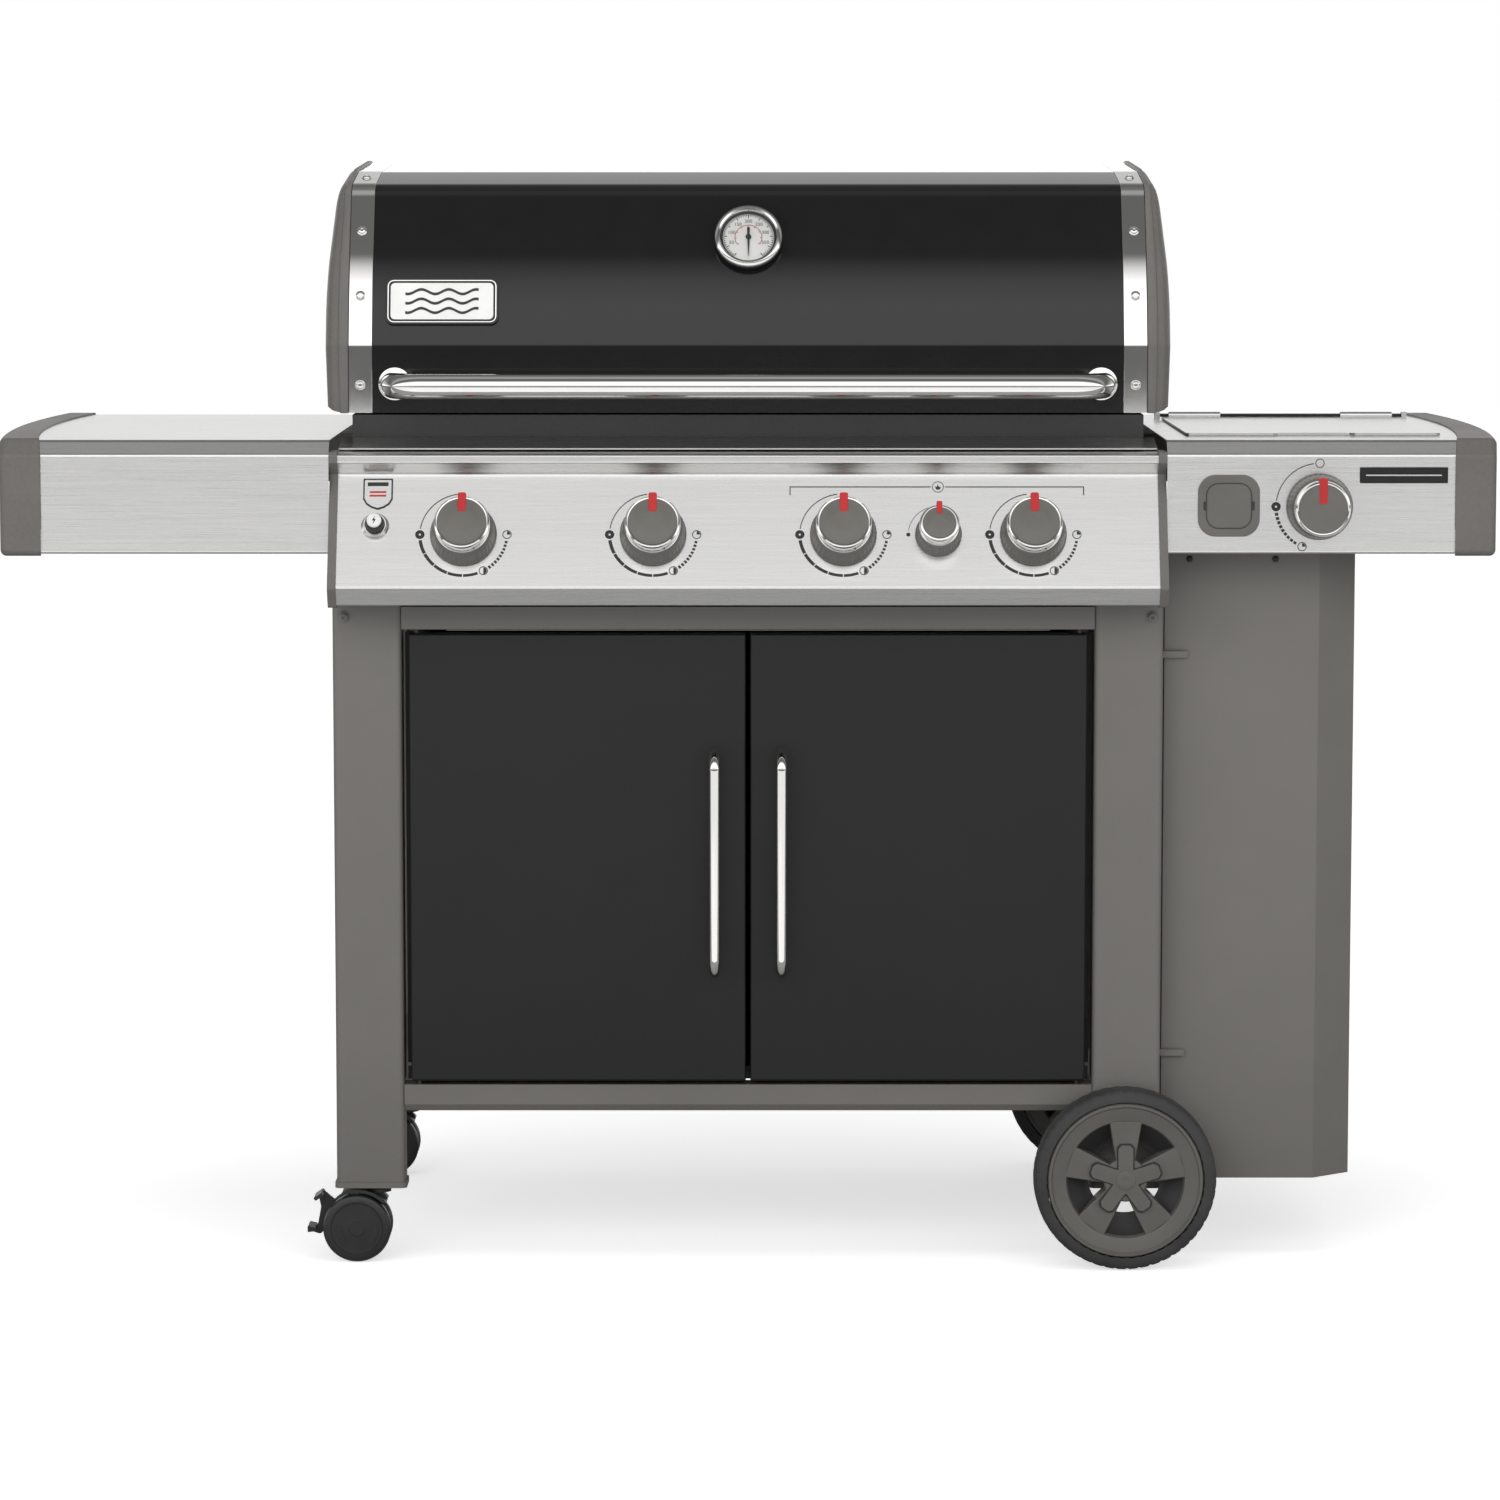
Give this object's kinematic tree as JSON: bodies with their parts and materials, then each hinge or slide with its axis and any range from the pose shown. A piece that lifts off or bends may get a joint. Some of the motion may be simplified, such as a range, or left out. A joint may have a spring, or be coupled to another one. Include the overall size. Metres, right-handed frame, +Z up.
{
  "type": "gas barbecue grill",
  "caption": "Free-standing gas barbecue on a closed two-door cart with side tables, a covered side burner, hinged lid, turning knobs, large wheels and braked casters.",
  "frame": {"origin": "on the floor, under the middle of the overall width and depth", "axes": "+X to the user's right along the width, +Y away from the user, +Z up"},
  "size_m": [1.656, 0.7591, 1.2092],
  "materials": {
    "graphite_paint": "satin",
    "black_paint": "satin",
    "black_enamel": "gloss",
    "cast_aluminium": "satin painted",
    "dark_casting": "satin painted",
    "stainless": "brushed",
    "chrome": "polished",
    "grate_iron": "enamelled",
    "pan_aluminium": "satin",
    "valve_brass": "satin",
    "dark_plastic": "matte",
    "black_plastic": "matte",
    "white_plastic": "satin",
    "tyre_rubber": "matte"
  },
  "bodies": {
    "cart": {"cart_legs": "graphite_paint", "leg_end_caps": "dark_plastic", "cart_rails": "graphite_paint", "cabinet_floor": "black_paint", "cabinet_panels": "black_paint", "cookbox": "dark_casting", "cooking_grates": "grate_iron", "heat_deflectors": "stainless", "burner_tubes": "stainless", "gas_manifold": "black_paint", "gas_valves": "valve_brass", "warming_rack": "stainless", "control_panel": "stainless", "panel_end_caps": "dark_plastic", "panel_apron": "black_paint", "left_table": "stainless", "right_table": "stainless", "table_end_caps": "dark_plastic", "side_burner_pan": "pan_aluminium", "side_burner": "stainless", "side_burner_grate": "grate_iron", "socket_cover": "dark_plastic", "trim_plates": "black_paint", "tank_panel": "graphite_paint", "frame_screws": "black_paint", "wheel_axle": "stainless", "hinge_pins": "stainless", "igniter_bezel": "chrome"},
    "lid": {"lid_skin": "black_enamel", "lid_trim_bands": "chrome", "lid_end_caps": "cast_aluminium", "lid_handle": "chrome", "lid_screws": "stainless", "lid_badge": "black_paint", "thermometer_case": "chrome", "thermometer_dial": "white_plastic"},
    "thermometer_needle": {"thermometer_needle": "black_paint"},
    "left_door": {"left_door": "black_paint", "left_door_handle": "chrome"},
    "right_door": {"right_door": "black_paint", "right_door_handle": "chrome"},
    "igniter_button": {"igniter_button": "black_plastic"},
    "side_burner_lid": {"side_burner_lid": "stainless"},
    "grease_tray": {"grease_tray": "pan_aluminium"},
    "front_wheel": {"front_wheel": "dark_plastic", "front_tyre": "tyre_rubber"},
    "rear_wheel": {"rear_wheel": "dark_plastic", "rear_tyre": "tyre_rubber"},
    "knob_1": {"knob_1": "dark_plastic"},
    "knob_2": {"knob_2": "dark_plastic"},
    "knob_3": {"knob_3": "dark_plastic"},
    "knob_4": {"knob_4": "dark_plastic"},
    "sear_knob": {"sear_knob": "dark_plastic"},
    "side_burner_knob": {"side_burner_knob": "dark_plastic"},
    "front_caster_fork": {"front_caster_fork": "black_plastic"},
    "front_caster_wheel": {"front_caster_wheel": "black_plastic"},
    "front_caster_brake": {"front_caster_brake": "black_plastic"},
    "rear_caster_fork": {"rear_caster_fork": "black_plastic"},
    "rear_caster_wheel": {"rear_caster_wheel": "black_plastic"},
    "rear_caster_brake": {"rear_caster_brake": "black_plastic"}
  },
  "joints": [
    {"name": "lid_hinge", "type": "hinge", "parent": "cart", "child": "lid", "pos_m": [0, 0.3, 0.95], "axis": [-1, 0, 0], "range_deg": [0, 78]},
    {"name": "needle_turn", "type": "hinge", "parent": "lid", "child": "thermometer_needle", "pos_m": [0.0005, -0.20318, 1.122], "axis": [0, 0.8874, -0.4611], "range_deg": [0, 300]},
    {"name": "left_door_hinge", "type": "hinge", "parent": "cart", "child": "left_door", "pos_m": [-0.362, -0.268, 0.45], "axis": [0, 0, -1], "range_deg": [0, 100]},
    {"name": "right_door_hinge", "type": "hinge", "parent": "cart", "child": "right_door", "pos_m": [0.362, -0.268, 0.45], "axis": [0, 0, 1], "range_deg": [0, 100]},
    {"name": "knob_1_turn", "type": "hinge", "parent": "cart", "child": "knob_1", "pos_m": [-0.3069, -0.329, 0.809], "axis": [0, -0.91, 0.4147], "range_deg": [0, 270]},
    {"name": "knob_2_turn", "type": "hinge", "parent": "cart", "child": "knob_2", "pos_m": [-0.1023, -0.329, 0.809], "axis": [0, -0.91, 0.4147], "range_deg": [0, 270]},
    {"name": "knob_3_turn", "type": "hinge", "parent": "cart", "child": "knob_3", "pos_m": [0.1029, -0.329, 0.809], "axis": [0, -0.91, 0.4147], "range_deg": [0, 270]},
    {"name": "knob_4_turn", "type": "hinge", "parent": "cart", "child": "knob_4", "pos_m": [0.3078, -0.329, 0.809], "axis": [0, -0.91, 0.4147], "range_deg": [0, 270]},
    {"name": "sear_knob_turn", "type": "hinge", "parent": "cart", "child": "sear_knob", "pos_m": [0.2055, -0.329, 0.809], "axis": [0, -0.91, 0.4147], "range_deg": [0, 90]},
    {"name": "side_burner_knob_turn", "type": "hinge", "parent": "cart", "child": "side_burner_knob", "pos_m": [0.6176, -0.315, 0.8382], "axis": [0, -1, 0], "range_deg": [0, 180]},
    {"name": "igniter_push", "type": "slide", "parent": "cart", "child": "igniter_button", "axis": [0, 0.91, -0.4147], "range_m": [0, 0.004], "stiffness_N_per_m": 600, "springref_m": -0.0005},
    {"name": "side_burner_lid_hinge", "type": "hinge", "parent": "cart", "child": "side_burner_lid", "pos_m": [0.6205, 0.156, 0.9145], "axis": [-1, 0, 0], "range_deg": [0, 100]},
    {"name": "grease_tray_slide", "type": "slide", "parent": "cart", "child": "grease_tray", "axis": [0, 1, 0], "range_m": [0, 0.42]},
    {"name": "front_wheel_roll", "type": "hinge", "parent": "cart", "child": "front_wheel", "pos_m": [0.4135, -0.302, 0.1], "axis": [0, 1, 0], "continuous": true},
    {"name": "rear_wheel_roll", "type": "hinge", "parent": "cart", "child": "rear_wheel", "pos_m": [0.4135, 0.302, 0.1], "axis": [0, 1, 0], "continuous": true},
    {"name": "front_caster_swivel", "type": "hinge", "parent": "cart", "child": "front_caster_fork", "pos_m": [-0.408, -0.252, 0.08], "axis": [0, 0, 1], "continuous": true},
    {"name": "front_caster_roll", "type": "hinge", "parent": "front_caster_fork", "child": "front_caster_wheel", "pos_m": [-0.432, -0.252, 0.0375], "axis": [0, 1, 0], "continuous": true},
    {"name": "front_caster_brake_press", "type": "hinge", "parent": "front_caster_fork", "child": "front_caster_brake", "pos_m": [-0.455, -0.252, 0.054], "axis": [0, 1, 0], "range_deg": [0, 12]},
    {"name": "rear_caster_swivel", "type": "hinge", "parent": "cart", "child": "rear_caster_fork", "pos_m": [-0.408, 0.252, 0.08], "axis": [0, 0, 1], "continuous": true},
    {"name": "rear_caster_roll", "type": "hinge", "parent": "rear_caster_fork", "child": "rear_caster_wheel", "pos_m": [-0.432, 0.252, 0.0375], "axis": [0, 1, 0], "continuous": true},
    {"name": "rear_caster_brake_press", "type": "hinge", "parent": "rear_caster_fork", "child": "rear_caster_brake", "pos_m": [-0.455, 0.252, 0.054], "axis": [0, 1, 0], "range_deg": [0, 12]}
  ]
}
